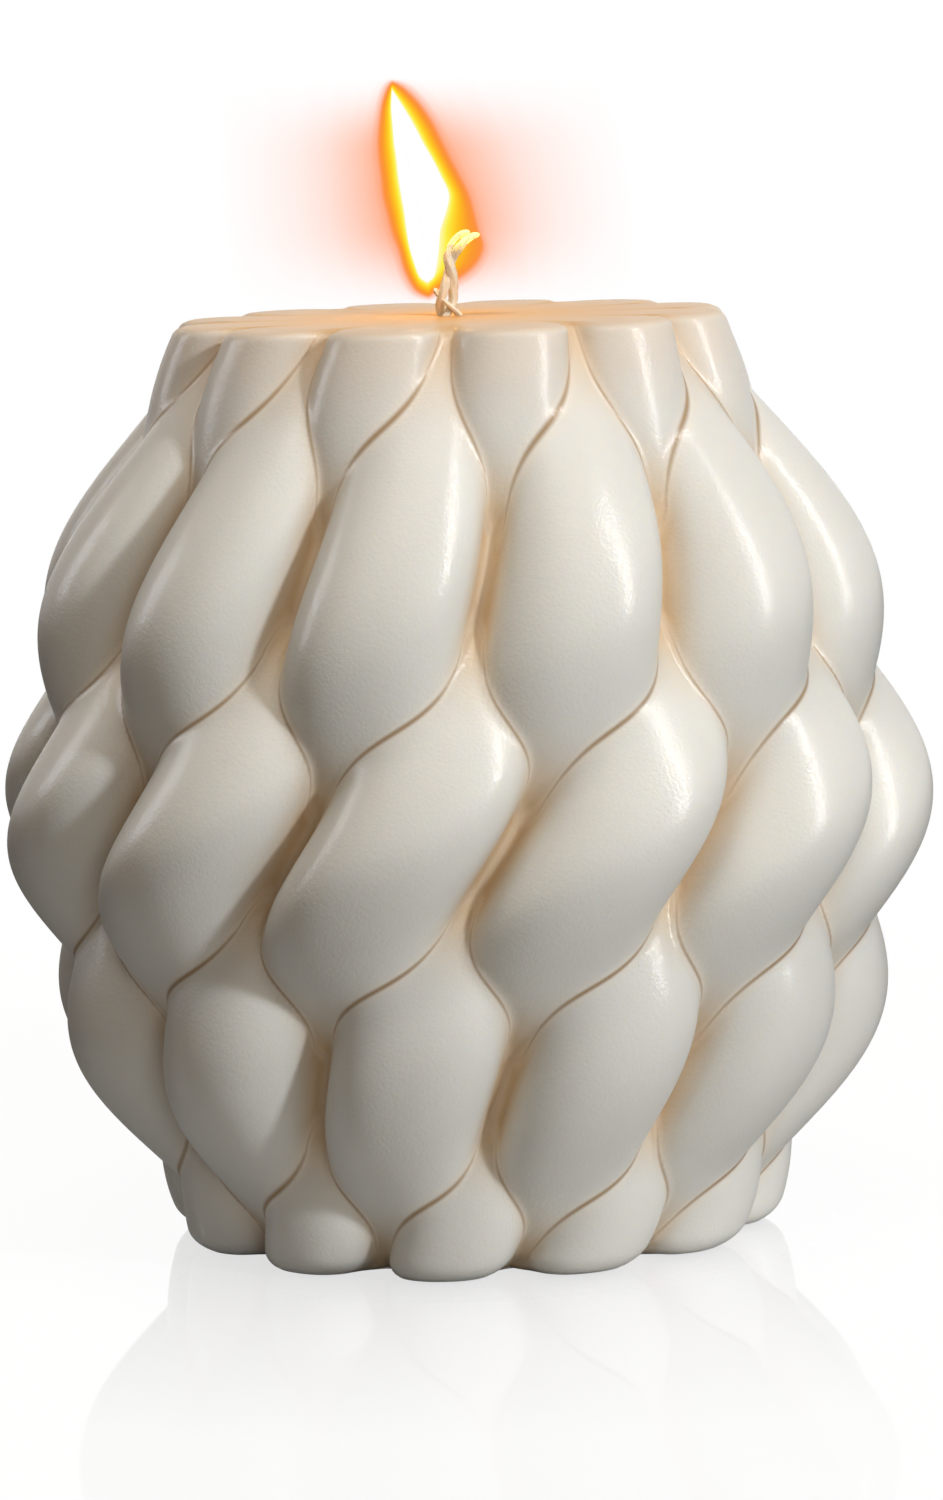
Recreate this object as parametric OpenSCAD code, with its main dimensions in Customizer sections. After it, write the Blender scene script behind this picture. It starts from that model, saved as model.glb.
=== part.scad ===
// Knot candle: a barrel of cast wax whose side is a ring of two-strand rope columns, cut flat at the
// top and standing on rounded strand ends, with a plaited cotton wick held by a metal tab in the base.
// Millimetres, +Z up, front towards -Y, origin on the table under the wick.

/* [Barrel] */
// Height of the wax, from the table to the flat top
body_height = 78; // [60:1:100]
// Width across the widest strands
belly_width = 80; // [64:1:110]
// Width across the strands at the flat top
top_width = 47.8; // [40:0.1:64]
// Width across the strands at the table, before their ends are rounded
base_width = 51.4; // [40:0.1:64]
// Height of the widest place
belly_z = 37.8; // [32:0.1:46]

/* [Rope columns] */
// Number of rope columns around the barrel
columns = 12; // [10:2:16]
// Thickness of one strand at the belly, measured outwards
strand_depth = 12.5; // [10:0.1:15]
// Width of one strand at the belly, measured around the barrel
strand_width = 15.4; // [13:0.1:20]
// How far a strand moves out and in about its column's centre line at the belly
strand_sway = 3.6; // [2:0.1:5]
// How far a leading strand swings to each side at the belly
leading_swing = 4; // [1:0.1:5]
// How far a following strand swings to each side at the belly
following_swing = 1.9; // [1:0.1:5]
// Height of one strand's half turn at the top
half_turn_top = 25.9; // [20:0.1:30]
// Height of one strand's half turn at the table
half_turn_base = 17.8; // [16:0.1:26]
// Angle that the leading strands are past their front at the flat top
top_turn = 36; // [20:1:50]
// Angle of the first column from the front, to the right
first_column = -10.5; // [-15:0.1:15]
// Rounding of the strand ends that the candle stands on
foot_round = 2; // [1:0.1:3]
// Rounding of the rim of the flat top
rim_round = 0.7; // [0.3:0.1:1.2]

/* [Wick] */
// Diameter of one of the three plaited plies
ply_d = 0.78; // [0.6:0.02:1.2]
// Room between plies, and between the wick and the wax
wick_clearance = 0.05; // [0.03:0.01:0.1]
// Length of wick in which a ply crosses over and back
plait_pitch = 9; // [7:0.5:12]
// Straight length of wick above the flat top
wick_rise = 4.2; // [3:0.1:8]
// Radius of the curl at the burnt end
curl_r = 2.4; // [2:0.1:4]
// Angle of the curl
curl_angle = 100; // [40:5:120]
// How much of the last ply has burnt away
burnt_length = 6; // [2:0.5:7]
// Height of the wick's cut end above the table
wick_foot = 0.4; // [0.2:0.1:1]

/* [Wick tab] */
// Diameter of the pressed disc
tab_d = 20; // [14:0.5:26]
// Thickness of the sheet
tab_sheet = 0.35; // [0.25:0.05:0.6]
// Height of the neck that grips the wick
tab_neck = 5; // [3:0.5:8]
// Radius of the bend between disc and neck
tab_bend = 0.8; // [0.5:0.1:1.5]
// How far the disc is set up from the table
tab_lift = 0.2; // [0.1:0.05:0.5]
// Room between the tab and the wax
tab_clearance = 0.05; // [0.02:0.01:0.1]

/* [Fineness] */
// Rows of points down the side
side_rows = 38; // [24:1:44]
// Steps across the visible part of a strand
strand_steps = 6; // [4:1:6]

/* [Hidden] */

$fn = 64;
eps = 0.01;
half_turn = 180;
degree = half_turn / PI;
column_angle = 360 / columns;
bisections = 24;

// Radius of the ring of column centre lines, at the belly and at the two ends
belly_r = belly_width / 2 - strand_sway - strand_depth / 2;
top_r = belly_r * top_width / belly_width;
base_r = belly_r * base_width / belly_width;
sway = strand_sway / belly_r;

// Steepness of the valley floor between two strands that don't touch
valley_fall = 0.3;

// Three plies, each swinging across the wick once and through it twice in a pitch. They are drawn in
// straight steps that cut the corners, so the plait is opened out until its steps clear one another.
plait_steps = 12;
plait_step = plait_pitch / plait_steps;
plait_wide = (ply_d + wick_clearance) / cos(360 / plait_steps);
plait_thick = plait_wide / sqrt(3);
plait_r = plait_wide * 7 / sqrt(48) + ply_d / 2;
bore_r = plait_r + wick_clearance;
ply_sides = 6;
ply_tip = [0, 35, 65];
straight_length = body_height + wick_rise - wick_foot;
wick_length = straight_length + curl_r * curl_angle / degree;

// The tab's sheet bends up around the wick about this point of its profile
tab_top = tab_lift + tab_sheet;
neck_r = bore_r + tab_sheet;
neck_top = tab_lift + tab_neck;
bend_centre = [neck_r + tab_bend, tab_top + tab_bend];
bend_steps = 6;

// Radius of the ring of column centre lines at height z
function column_r(z) = let (
    below = z < belly_z,
    end_r = below ? base_r : top_r,
    span = below ? belly_z : body_height - belly_z
  ) end_r + (belly_r - end_r) * cos(90 * (z - belly_z) / span);

// Half turns made from the top down to height z, counted so that strand k is in front at k
function turns(z) = let (down = body_height - z)
  top_turn / half_turn + down / half_turn_top
  + (1 / half_turn_base - 1 / half_turn_top) * down * down / (2 * body_height);

// What the rounded feet and the rounded rim take off a strand at height z
function quarter_round(r, h) = h < r ? r - sqrt(max(0, r * r - pow(r - h, 2))) : 0;
function trim(z) = quarter_round(foot_round, z) + quarter_round(rim_round, body_height - z);

// Angle of strand k's middle from its column's centre line. The two strands of a column take turns.
function swing(k) = (k % 2 == 0 ? leading_swing : following_swing) / belly_r;
function strand_angle(k, z) = -swing(k) * sin(half_turn * (turns(z) - k)) * degree;

// Distance from the axis to the skin of strand k at height z, at an angle from the column's centre line
function strand_reach(k, angle, z) = let (
    scale = column_r(z) / belly_r,
    out = column_r(z) * (1 + sway * cos(half_turn * (turns(z) - k))),
    off = angle - strand_angle(k, z),
    deep = strand_depth / 2 * scale - trim(z),
    wide = strand_width / 2 * scale - trim(z),
    rest = 1 - pow(out * sin(off) / wide, 2)
  ) out * cos(off) + deep * (rest > 0 ? sqrt(rest) : valley_fall * rest);

// Angle between low and high where strand a gives way to strand b, whose column is shift further on
function crease(a, b, shift, z, low, high, n = bisections) = let (mid = (low + high) / 2)
  n == 0 ? mid
  : strand_reach(a, mid, z) > strand_reach(b, mid - shift, z)
    ? crease(a, b, shift, z, mid, high, n - 1)
    : crease(a, b, shift, z, low, mid, n - 1);

// Each row crosses strand k, leaving to the left, and strand k + 1, arriving from the right. A row holds
// its height, k, whether each of the two shows, and the angles at which each starts and ends.
function row(z) = let (
    k = floor(turns(z)),
    next = strand_angle(k, z) + column_angle / 2,
    back = strand_angle(k + 1, z) - column_angle / 2,
    leaves = strand_reach(k, back, z) > strand_reach(k + 1, back, z),
    arrives = strand_reach(k + 1, next, z) > strand_reach(k, next, z),
    front = back + column_angle,
    middle = !leaves ? back : !arrives ? next : crease(k, k + 1, 0, z, back, next),
    end = !leaves ? front : !arrives ? next : crease(k + 1, k, column_angle, z, next, front)
  ) [z, k, [leaves, arrives], [[end - column_angle, middle], [middle, end]]];

// Points crowd a little towards the creases, where the skin is steepest
function crowd(t) = (t + (1 - cos(half_turn * t)) / 2) / 2;
function around(angle, r, z) = [r * sin(angle), -r * cos(angle), z];
function row_points(r) = [
  for (j = [0 : columns - 1], s = [0, 1])
    if (r[2][s])
      for (q = [0 : strand_steps - 1])
        let (
          angle = r[3][s][0] + (r[3][s][1] - r[3][s][0]) * crowd(q / strand_steps),
          reach = strand_reach(r[1] + s, angle, r[0])
        ) around(first_column + j * column_angle + angle, reach, r[0])
];

// Rows of the side from the rim down to the feet, with a few extra ones round each rounding
side_top = body_height - rim_round;
side_step = (side_top - foot_round) / side_rows;
heights = [
  for (a = [90, 45]) body_height - rim_round * (1 - sin(a)),
  for (i = [0 : side_rows]) side_top - i * side_step,
  for (a = [30, 60, 90]) foot_round * (1 - sin(a))
];
rows = [for (z = heights) row(z)];
function row_count(i) = strand_steps * ((rows[i][2][0] ? 1 : 0) + (rows[i][2][1] ? 1 : 0));
function row_starts(n) = [for (i = 0, sum = 0; i <= n; sum = sum + columns * row_count(i), i = i + 1) sum];
starts = row_starts(len(rows) - 1);

// Number of point q of strand s, 0 or 1, of column j in row i. A strand that doesn't show is one point.
function side_point(i, s, j, q) = let (
    first = s == 1 && rows[i][2][0] ? strand_steps : 0,
    step = rows[i][2][s] ? q : 0
  ) starts[i] + (j * row_count(i) + first + step) % (columns * row_count(i));

// Skin between strand from of row i and strand to of the next row, which may be in the column before
function strip(i, from, to, before = 0) = [
  for (j = [0 : columns - 1], q = [0 : strand_steps - 1])
    let (
      next_j = (j + columns - before) % columns,
      a = side_point(i, from, j, q),
      b = side_point(i, from, j, q + 1),
      c = side_point(i + 1, to, next_j, q),
      d = side_point(i + 1, to, next_j, q + 1)
    ) each concat(a != b ? [[a, b, d]] : [], c != d ? [[a, d, c]] : [])
];

module rope_barrel() {
  last = len(rows) - 1;
  same = function (i) rows[i][1] == rows[i + 1][1];
  side = [
    for (i = [0 : last - 1])
      each same(i) ? concat(strip(i, 0, 0), strip(i, 1, 1)) : concat(strip(i, 1, 0), strip(i, 0, 1, 1))
  ];
  top = [for (q = [columns * row_count(0) - 1 : -1 : 0]) q];
  base = [for (q = [0 : columns * row_count(last) - 1]) starts[last] + q];
  polyhedron([for (r = rows) each row_points(r)], concat(side, [top, base]));
}

// Half of the tab's seat in the wax: the disc and the bend with the neck, grown by the clearance
module tab_seat_profile() {
  bend = [
    for (i = [0 : bend_steps])
      bend_centre + (tab_bend - tab_clearance) * [-sin(90 * i / bend_steps), -cos(90 * i / bend_steps)]
  ];
  polygon(concat(
    [[0, -eps], [tab_d / 2 + tab_clearance, -eps], [tab_d / 2 + tab_clearance, tab_top + tab_clearance]],
    bend,
    [[neck_r + tab_clearance, neck_top + tab_clearance], [0, neck_top + tab_clearance]]
  ));
}

module wax_body() {
  color("#e8e2d4")
    difference() {
      rope_barrel();
      rotate_extrude() tab_seat_profile();
      translate([0, 0, neck_top]) cylinder(r = bore_r, h = body_height);
    }
}

// Middle of the wick and its sideways direction at a length from the cut end
function wick_frame(s) = let (turn = max(0, s - straight_length) / curl_r * degree) [
  [curl_r * (1 - cos(turn)), 0, wick_foot + min(s, straight_length) + curl_r * sin(turn)],
  [cos(turn), 0, -sin(turn)]
];

function ply_ring(i, s, r) = let (
    frame = wick_frame(s),
    lay = 360 * s / plait_pitch + 120 * i
  ) [
    for (q = [0 : ply_sides - 1])
      let (a = 360 * q / ply_sides)
        frame[0] + frame[1] * (plait_wide * sin(lay) + r * cos(a))
        + [0, plait_thick * sin(2 * lay) + r * sin(a), 0]
  ];

module wick_ply(i, length) {
  r = ply_d / 2;
  steps = floor((length - r) / plait_step);
  rings = concat(
    [for (n = [0 : steps - 1]) ply_ring(i, n * plait_step, r)],
    [for (a = ply_tip) ply_ring(i, steps * plait_step + r * sin(a), r * cos(a))]
  );
  last = len(rings) - 1;
  side = [
    for (n = [0 : last - 1], q = [0 : ply_sides - 1])
      let (a = n * ply_sides + q, b = n * ply_sides + (q + 1) % ply_sides)
        each [[a, a + ply_sides, b + ply_sides], [a, b + ply_sides, b]]
  ];
  foot = [for (q = [0 : ply_sides - 1]) q];
  tip = [for (q = [ply_sides - 1 : -1 : 0]) last * ply_sides + q];
  color("#efe6d2") polyhedron([for (ring = rings) each ring], concat(side, [foot, tip]));
}

module wick_tab() {
  arc = function (r, i) bend_centre - r * [sin(90 * i / bend_steps), cos(90 * i / bend_steps)];
  under = [for (i = [0 : bend_steps]) arc(tab_bend + tab_sheet, i)];
  over = [for (i = [bend_steps : -1 : 0]) arc(tab_bend, i)];
  color("#b9bcbf")
    rotate_extrude()
      polygon(concat(
        [[tab_d / 2, tab_lift]], under,
        [[bore_r, neck_top], [neck_r, neck_top]], over,
        [[tab_d / 2, tab_top]]
      ));
}

wax_body();
wick_ply(0, wick_length);  // wick_ply_1
wick_ply(1, wick_length - ply_d);  // wick_ply_2
wick_ply(2, wick_length - burnt_length);  // wick_ply_3
wick_tab();
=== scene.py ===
"""Looks of a knot candle: cast wax of twisted rope columns, a plaited cotton wick, its tab and its flame."""

import logging
import math
from dataclasses import dataclass
from enum import Enum
from functools import partial
from itertools import accumulate
from typing import Any, Callable, Sequence

import bpy
from mathutils import Matrix, Vector


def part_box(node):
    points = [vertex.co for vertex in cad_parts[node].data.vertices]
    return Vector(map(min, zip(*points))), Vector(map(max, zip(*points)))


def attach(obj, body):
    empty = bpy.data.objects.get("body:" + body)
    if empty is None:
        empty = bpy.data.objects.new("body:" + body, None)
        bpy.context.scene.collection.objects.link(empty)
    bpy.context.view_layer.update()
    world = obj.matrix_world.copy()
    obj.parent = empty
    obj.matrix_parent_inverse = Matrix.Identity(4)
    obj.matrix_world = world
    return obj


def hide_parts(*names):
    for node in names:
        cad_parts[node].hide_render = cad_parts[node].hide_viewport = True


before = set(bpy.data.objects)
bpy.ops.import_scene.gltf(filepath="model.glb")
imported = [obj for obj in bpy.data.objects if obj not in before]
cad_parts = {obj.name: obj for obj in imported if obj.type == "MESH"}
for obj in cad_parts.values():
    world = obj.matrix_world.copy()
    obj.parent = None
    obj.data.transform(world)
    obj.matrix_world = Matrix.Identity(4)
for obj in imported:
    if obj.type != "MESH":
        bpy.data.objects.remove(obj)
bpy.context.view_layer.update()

LOG = logging.getLogger("knot_candle")
MM = 0.001
BODY = "root"
MAP = "ShaderNodeMapRange"
MIX = "ShaderNodeMix"
SOFT = {"interpolation_type": "SMOOTHSTEP"}
WELD = 1e-7
WHITE = (1.0, 1.0, 1.0, 1.0)
IMAGE_HEIGHT = 1500
AddNode = Callable[..., bpy.types.Node]


class Lights(Enum):
    """What a lamp lights: a surface as a whole, only its matt part or only its shine."""

    ALL = (True, True)
    MATT = (True, False)
    SHINE = (False, True)


def linear(hex_colour: str) -> tuple[float, float, float, float]:
    """Turns an sRGB hex colour into linear RGBA.

    Args:
        hex_colour: colour such as "e9e4d6".

    Returns:
        Red, green, blue and an alpha of 1, in linear light.
    """
    parts = [int(hex_colour[i : i + 2], 16) / 255 for i in (0, 2, 4)]
    light = [c / 12.92 if c <= 0.04045 else ((c + 0.055) / 1.055) ** 2.4 for c in parts]
    return (light[0], light[1], light[2], 1.0)


def add_node(tree: bpy.types.NodeTree, kind: str, links: Any = (), **settings: Any) -> bpy.types.Node:
    """Adds a node, sets it up and links its inputs.

    Args:
        tree: node tree that takes the node.
        kind: Blender's name of the node type, or just the operation of a math node.
        links: what goes into the inputs, in order or by name: a value, a socket, or a node's first output.
        settings: properties of the node, such as its data type.

    Returns:
        The new node.
    """
    if "Node" not in kind:
        kind, settings["operation"] = "ShaderNodeMath", kind
    node = tree.nodes.new(kind)
    for name, value in settings.items():
        setattr(node, name, value)
    for key, value in links.items() if isinstance(links, dict) else enumerate(links):
        if isinstance(value, bpy.types.Node):
            value = value.outputs[0]
        if isinstance(value, bpy.types.NodeSocket):
            tree.links.new(value, node.inputs[key])
        elif value is not None:
            node.inputs[key].default_value = value
    return node


def new_tree(name: str, inputs: Sequence[str], outputs: Sequence[str]) -> tuple[Any, AddNode, Any]:
    """Starts a Geometry Nodes tree whose named inputs are all plain numbers.

    Args:
        name: the tree's name.
        inputs: names of its number inputs.
        outputs: names of its number outputs, or "Geometry" for a mesh.

    Returns:
        The tree, a function that adds nodes to it and its group input node.
    """
    tree = bpy.data.node_groups.new(name, "GeometryNodeTree")
    for label in inputs:
        tree.interface.new_socket(label, in_out="INPUT", socket_type="NodeSocketFloat")
    for label in outputs:
        kind = "NodeSocketGeometry" if label == "Geometry" else "NodeSocketFloat"
        tree.interface.new_socket(label, in_out="OUTPUT", socket_type=kind)
    return tree, partial(add_node, tree), tree.nodes.new("NodeGroupInput")


def grown_piece(name: str, tree: bpy.types.NodeTree, values: dict[str, float]) -> bpy.types.Object:
    """Runs a Geometry Nodes tree once and keeps its result as a plain mesh.

    Args:
        name: name of the piece.
        tree: the tree that makes its mesh.
        values: a number for each named input of the tree.

    Returns:
        The finished piece, at the origin and with no modifier.
    """
    piece = bpy.data.objects.new(name, bpy.data.meshes.new(name))
    bpy.context.scene.collection.objects.link(piece)
    modifier = piece.modifiers.new(name, "NODES")
    modifier.node_group = tree
    for socket in tree.interface.items_tree:
        if socket.in_out == "INPUT":
            modifier[socket.identifier] = values[socket.name]
    bpy.context.view_layer.update()
    mesh = bpy.data.meshes.new_from_object(piece.evaluated_get(bpy.context.evaluated_depsgraph_get()))
    piece.modifiers.remove(modifier)
    piece.data = mesh
    mesh.name = name
    return piece


def finish_piece(piece: bpy.types.Object, slot: str, *nodes: str) -> None:
    """Puts a piece on the candle's body, hides the CAD nodes that it replaces and logs its face count.

    Args:
        piece: the finished piece.
        slot: not used.
        nodes: CAD nodes that it replaces.
    """
    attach(piece, BODY)
    if nodes:
        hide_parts(*nodes)
    LOG.info("%s: %d faces", piece.name, len(piece.data.polygons))


def new_material(name: str) -> tuple[bpy.types.Material, AddNode]:
    """Starts a material with an empty node tree.

    Args:
        name: the real material and how its surface was made.

    Returns:
        The material and a function that adds nodes to it.
    """
    material = bpy.data.materials.new(name)
    material.use_nodes = True
    material.node_tree.nodes.clear()
    return material, partial(add_node, material.node_tree)


@dataclass(frozen=True)
class CastWax:
    """Stearin and paraffin wax, cast in a soft mould."""

    colour: str = "e9e7df"
    cloud_colour: str = "e2dfd6"
    mottle: float = 9 * MM
    # From which depth on a hollow gets painted tan shade, 1 being the deepest, and how strong that painted shade is.
    painted_hollow_shade_colour: str = "cfa86c"
    painted_hollow_shade_from: float = 0.38
    painted_hollow_shade_share: float = 0.85
    # The painted pale edge light and the painted tan crease shade reach to where the strand stands this far out over
    # its neighbour.
    painted_edge_light_colour: str = "f6ead8"
    painted_edge_light_lead: float = 1.3 * MM
    painted_edge_light_share: float = 0.4
    painted_crease_shade_colour: str = "98702f"
    painted_crease_shade_lead: float = 0.4 * MM
    painted_crease_shade_share: float = 0.8
    painted_crease_shade_fades: tuple[float, float] = (0.45, 0.85)
    painted_crease_shade_left: float = 0.1
    edge_from: float = 0.3
    # The flame's glow, painted into the colour: on the flat top, from the wick outwards, and on the side, below the
    # rim.
    painted_flame_glow_colour: str = "e6b06c"
    painted_glow_pool: tuple[float, float] = (4 * MM, 24 * MM)
    painted_glow_pool_edge_share: float = 0.42
    painted_rim_glow_reach: float = 10 * MM
    painted_rim_glow_share: float = 0.2
    rim_edge: float = 0.3 * MM
    top_skin: tuple[float, float] = (0.5 * MM, 0.05 * MM)
    roughness: float = 0.4
    roughness_spread: float = 0.08
    top_roughness: float = 0.8
    gloss_level: float = 0.12
    ior: float = 1.44
    grain: float = 0.3 * MM
    grain_depth: float = 0.05 * MM
    grain_strength: float = 0.6
    grain_range: tuple[float, float] = (0.3, 0.7)
    soak_depth: float = 2 * MM
    soak_share: float = 0.3
    soak_colour: tuple[float, float, float] = (1.0, 0.72, 0.45)
    bloom_share: float = 0.16
    bloom_roughness: float = 0.17

    def material(self, height: float) -> bpy.types.Material:
        """Builds the wax material.

        Args:
            height: height of the flat top, round which the flame's glow is painted on.

        Returns:
            The material.
        """
        # To the eye: a satin skin over a milky depth, warmer where light soaks in, with painted shade, edge light and
        # flame glow.
        material, add = new_material("cast_wax_satin")
        place = add("ShaderNodeTexCoord").outputs["Object"]
        high = add("ShaderNodeSeparateXYZ", [place]).outputs["Z"]
        hollow, crease, over_other, over_next = (
            add("ShaderNodeAttribute", attribute_name=name).outputs["Fac"]
            for name in ("hollow", "crease", "over_other", "over_next")
        )
        # Wax sets unevenly, so its ivory drifts a little over a centimetre or so.
        cloud = add("ShaderNodeTexNoise", {"Vector": place, "Scale": 1 / self.mottle, "Detail": 3.0})
        # Painted tan shade in the hollows, standing in for light that soaks through the wax and comes back warmer.
        painted_hollow_shade = add(MAP, [hollow, self.painted_hollow_shade_from, 1.0, 0.0, self.painted_hollow_shade_share], **SOFT)
        # A strand's lead over its neighbours falls to nothing at its edge, which gets a painted pale edge light and
        # ends in a painted tan crease shade.
        # Both stop at the rim, and deep in a hollow the painted crease shade fades into the painted hollow shade.
        others = add("ABSOLUTE", [over_other])
        nexts = add("ABSOLUTE", [over_next])
        inside = add("LESS_THAN", [crease, self.edge_from])
        nexts = add("ADD", [nexts, inside])
        edge = add("MINIMUM", [others, nexts])
        below = add("LESS_THAN", [high, height - self.rim_edge])
        # Painted pale edge light along each strand's edge, stopping at the rim.
        painted_edge_light = add(MAP, [edge, 0.0, self.painted_edge_light_lead, self.painted_edge_light_share, 0.0], **SOFT)
        painted_edge_light = add("MULTIPLY", [painted_edge_light, below])
        # Painted tan crease shade where two strands meet.
        painted_crease_shade = add(MAP, [edge, 0.0, self.painted_crease_shade_lead, self.painted_crease_shade_share, 0.0], **SOFT)
        painted_crease_shade = add("MULTIPLY", [painted_crease_shade, below])
        left = add(MAP, [hollow, *self.painted_crease_shade_fades, 1.0, self.painted_crease_shade_left])
        painted_crease_shade = add("MULTIPLY", [painted_crease_shade, left])
        # Painted flame glow: the flat top most of all round the wick, and the side a little below the rim.
        level = add("ShaderNodeVectorMath", [place, (1.0, 1.0, 0.0)], operation="MULTIPLY")
        from_wick = add("ShaderNodeVectorMath", [level], operation="LENGTH").outputs["Value"]
        painted_glow_pool = add(MAP, [from_wick, *self.painted_glow_pool, 1.0, self.painted_glow_pool_edge_share])
        painted_rim_glow = add(MAP, [high, height - self.painted_rim_glow_reach, height, 0.0, self.painted_rim_glow_share], **SOFT)
        on_top = add(MAP, [high, *(height - depth for depth in self.top_skin), 0.0, 1.0])
        painted_flame_glow = add(MIX, {"Factor": on_top, "A": painted_rim_glow, "B": painted_glow_pool})
        tints = (
            (cloud, self.cloud_colour), (painted_hollow_shade, self.painted_hollow_shade_colour), (painted_edge_light, self.painted_edge_light_colour),
            (painted_crease_shade, self.painted_crease_shade_colour), (painted_flame_glow, self.painted_flame_glow_colour),
        )
        colour = linear(self.colour)
        for share, tint in tints:
            links = {"Factor": share, "A": colour, "B": linear(tint)}
            colour = add(MIX, links, data_type="RGBA").outputs["Result"]
        # The mould's fine grit roughens the highlights. It is drawn a little coarse so that it shows.
        grit = add("ShaderNodeTexNoise", {"Vector": place, "Scale": 1 / self.grain, "Detail": 2.0})
        bump = add("ShaderNodeBump", {"Strength": self.grain_strength, "Distance": self.grain_depth, "Height": grit})
        smoothest, roughest = self.roughness - self.roughness_spread, self.roughness + self.roughness_spread
        sheen = add(MAP, [grit, *self.grain_range, smoothest, roughest])
        # The flat top was cut and melts a little, so it has hardly any shine left.
        matt = add(MIX, {"Factor": on_top, "A": sheen, "B": self.top_roughness})
        shader = add(
            "ShaderNodeBsdfPrincipled",
            {
                "Base Color": colour, "Roughness": matt, "Normal": bump, "IOR": self.ior,
                "Specular IOR Level": self.gloss_level, "Subsurface Weight": self.soak_share,
                "Subsurface Radius": self.soak_colour, "Subsurface Scale": self.soak_depth,
                "Coat Weight": self.bloom_share, "Coat Roughness": self.bloom_roughness, "Coat Normal": bump,
            },
        )
        add("ShaderNodeOutputMaterial", [shader])
        return material


@dataclass(frozen=True)
class CottonYarn:
    """Bleached cotton yarn, plaited and soaked in wax."""

    colour: str = "f6ecd8"
    soaked_colour: str = "e6d5b2"
    char_colour: str = "5a3d26"
    char_reach: float = 2 * MM
    char_share: float = 0.2
    ember_colour: str = "ffe44e"
    ember_levels: tuple[float, float] = (0.25, 1.3)
    coal: float = 0.5 * MM
    coal_range: tuple[float, float] = (0.35, 0.65)
    fibre: float = 0.12 * MM
    fibre_depth: float = 0.05 * MM
    fibre_strength: float = 0.5
    roughness: float = 0.75

    def material(self, ember_from: float, ember_to: float) -> bpy.types.Material:
        """Builds the yarn material.

        Args:
            ember_from: height at which the yarn starts to glow.
            ember_to: height at which it glows fully.

        Returns:
            The material.
        """
        # To the eye: cream and matt, with fine fibres, and glowing where it burns.
        material, add = new_material("waxed_cotton_yarn")
        place = add("ShaderNodeTexCoord").outputs["Object"]
        high = add("ShaderNodeSeparateXYZ", [place]).outputs["Z"]
        # The fibres are drawn several times too coarse, so that they show.
        fibres = add("ShaderNodeTexNoise", {"Vector": place, "Scale": 1 / self.fibre, "Detail": 2.0})
        burnt = add(MAP, [high, ember_from - self.char_reach, ember_from, 0.0, self.char_share])
        colour = linear(self.colour)
        for share, tint in ((fibres, self.soaked_colour), (burnt, self.char_colour)):
            links = {"Factor": share, "A": colour, "B": linear(tint)}
            colour = add(MIX, links, data_type="RGBA").outputs["Result"]
        ember = add(MAP, [high, ember_from, ember_to, 0.0, 1.0], **SOFT)
        coals = add("ShaderNodeTexNoise", {"Vector": place, "Scale": 1 / self.coal, "Detail": 1.0})
        speck = add(MAP, [coals, *self.coal_range, *self.ember_levels])
        glow = add("MULTIPLY", [ember, speck])
        bump = add(
            "ShaderNodeBump",
            {"Strength": self.fibre_strength, "Distance": self.fibre_depth, "Height": fibres},
        )
        shader = add(
            "ShaderNodeBsdfPrincipled",
            {
                "Base Color": colour, "Roughness": self.roughness, "Normal": bump,
                "Emission Color": linear(self.ember_colour), "Emission Strength": glow,
            },
        )
        add("ShaderNodeOutputMaterial", [shader])
        return material


@dataclass(frozen=True)
class TinnedSheet:
    """Tin-plated steel sheet, blanked and drawn in a press."""

    colour: str = "bfc2c5"
    ring: float = 0.5 * MM
    ring_depth: float = 0.02 * MM
    ring_strength: float = 0.1
    ring_waver: float = 1.5
    roughness: tuple[float, float] = (0.24, 0.36)

    def material(self) -> bpy.types.Material:
        """Builds the sheet's material.

        Returns:
            The material.
        """
        # To the eye: a soft grey shine with fine rings from the press.
        material, add = new_material("tin_plated_steel_pressed")
        place = add("ShaderNodeTexCoord").outputs["Object"]
        # A wave texture has 20 rings to a unit at a scale of 1.
        rings = add(
            "ShaderNodeTexWave", wave_type="RINGS", rings_direction="Z",
            links={"Vector": place, "Scale": 1 / (20 * self.ring), "Distortion": self.ring_waver, "Detail": 2.0},
        ).outputs["Fac"]
        rough = add(MAP, [rings, 0.0, 1.0, *self.roughness])
        bump = add("ShaderNodeBump", {"Strength": self.ring_strength, "Distance": self.ring_depth, "Height": rings})
        shader = add(
            "ShaderNodeBsdfPrincipled",
            {"Base Color": linear(self.colour), "Metallic": 1.0, "Roughness": rough, "Normal": bump},
        )
        add("ShaderNodeOutputMaterial", [shader])
        return material


@dataclass(frozen=True)
class FlameLight:
    """Burning wax vapour, lit by itself."""

    strength: float = 1.0

    def material(self) -> bpy.types.Material:
        """Builds the flame's material, which reads light and cover from the mesh.

        Returns:
            The material.
        """
        # To the eye: a white-hot heart, a yellow edge and an orange glow that lets light through.
        material, add = new_material("candle_flame_glow")
        layer = add("ShaderNodeAttribute", attribute_name="light")
        light = add("ShaderNodeEmission", {"Color": layer.outputs["Color"], "Strength": self.strength})
        clear = add("ShaderNodeBsdfTransparent")
        shader = add("ShaderNodeMixShader", [layer.outputs["Alpha"], clear, light])
        add("ShaderNodeOutputMaterial", [shader])
        return material


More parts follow.
